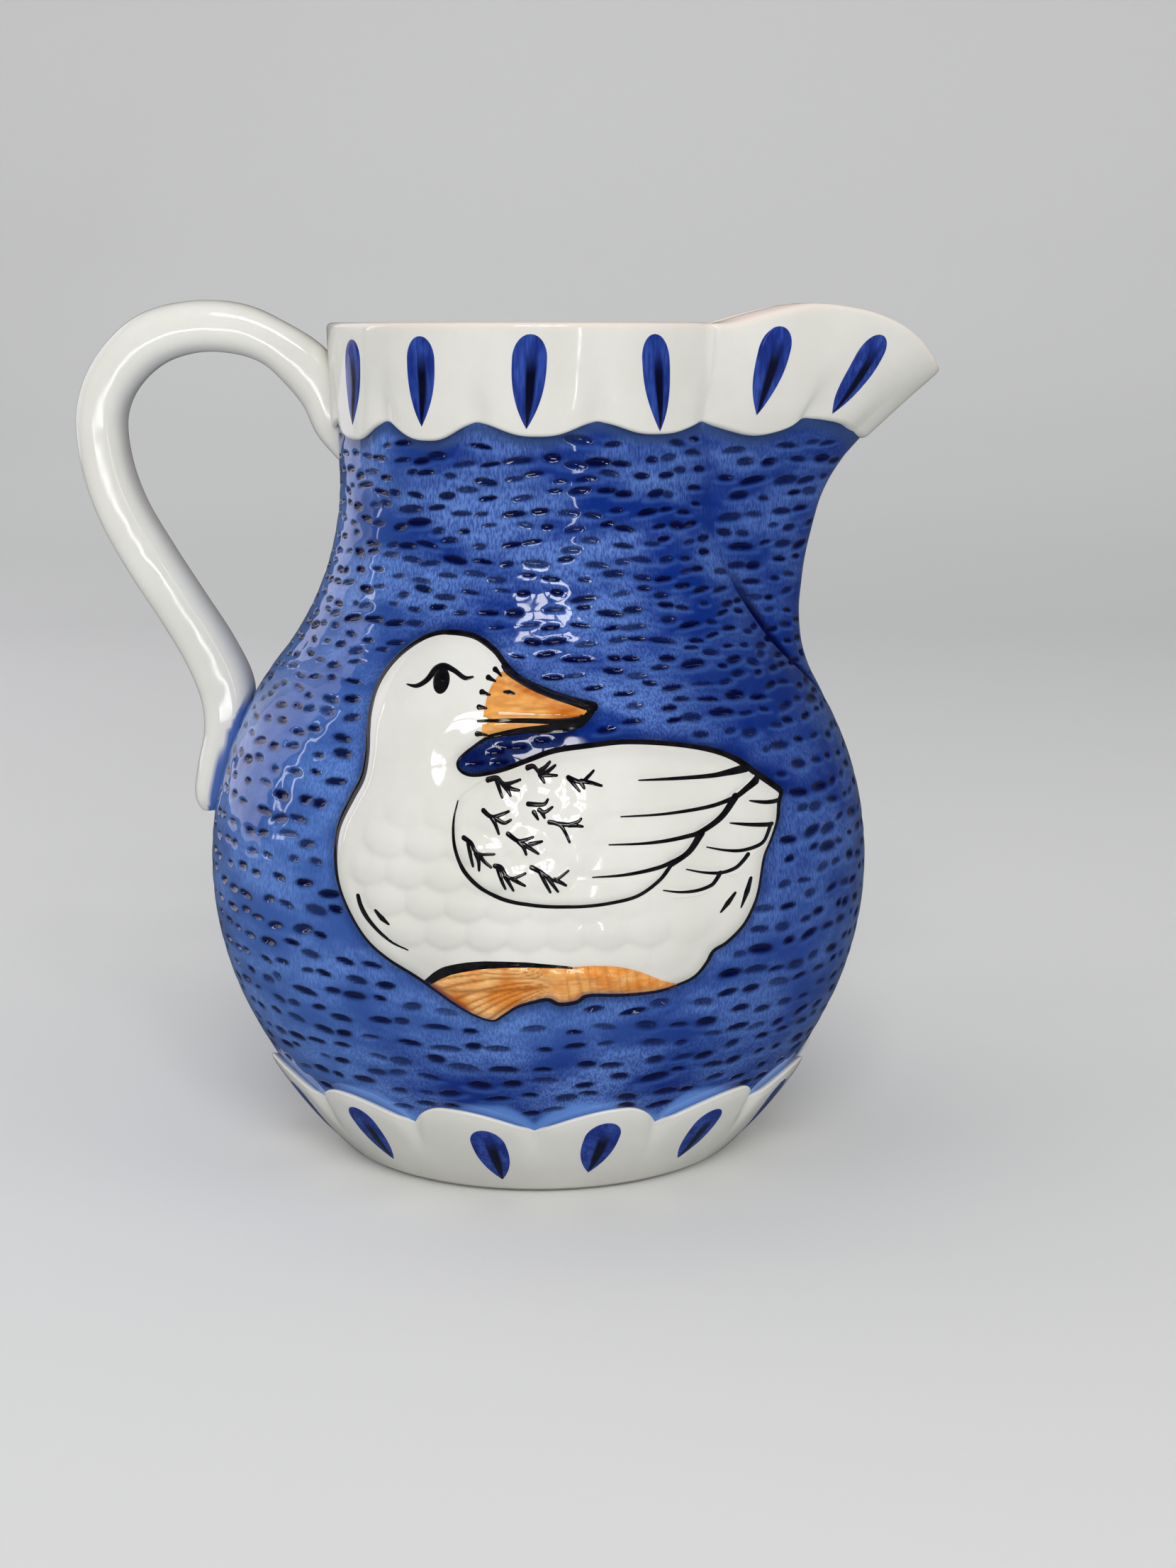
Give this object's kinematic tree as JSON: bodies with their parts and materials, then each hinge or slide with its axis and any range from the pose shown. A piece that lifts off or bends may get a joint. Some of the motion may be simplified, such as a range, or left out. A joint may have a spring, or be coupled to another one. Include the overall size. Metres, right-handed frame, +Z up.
{
  "type": "duck pitcher",
  "caption": "Round-bellied glazed pitcher with a pinched spout, a looped strap handle, scalloped bands at rim and foot, and a farmyard duck in relief on its sides.",
  "frame": {"origin": "on the pitcher's axis, in the plane of the face that it stands on", "axes": "+Z up along the axis, +X from the axis to the spout, -X to the handle, -Y to the front duck"},
  "size_m": [0.2175, 0.1804, 0.2157],
  "materials": {
    "white_glaze": "gloss white glaze",
    "blue_glaze": "gloss cobalt blue wash over a dimpled wall",
    "orange_glaze": "gloss orange brushwork"
  },
  "bodies": {
    "root": {"foot": "white_glaze", "belly": "blue_glaze", "neck": "blue_glaze", "spout": "blue_glaze", "handle": "white_glaze", "collar": "white_glaze", "spout_collar": "white_glaze", "base_band": "white_glaze", "front_duck_body": "white_glaze", "front_duck_head": "white_glaze", "front_duck_wing": "white_glaze", "front_duck_tail": "white_glaze", "front_duck_bill": "orange_glaze", "front_duck_foot": "orange_glaze", "back_duck_body": "white_glaze", "back_duck_head": "white_glaze", "back_duck_wing": "white_glaze", "back_duck_tail": "white_glaze", "back_duck_bill": "orange_glaze", "back_duck_foot": "orange_glaze"}
  },
  "joints": []
}
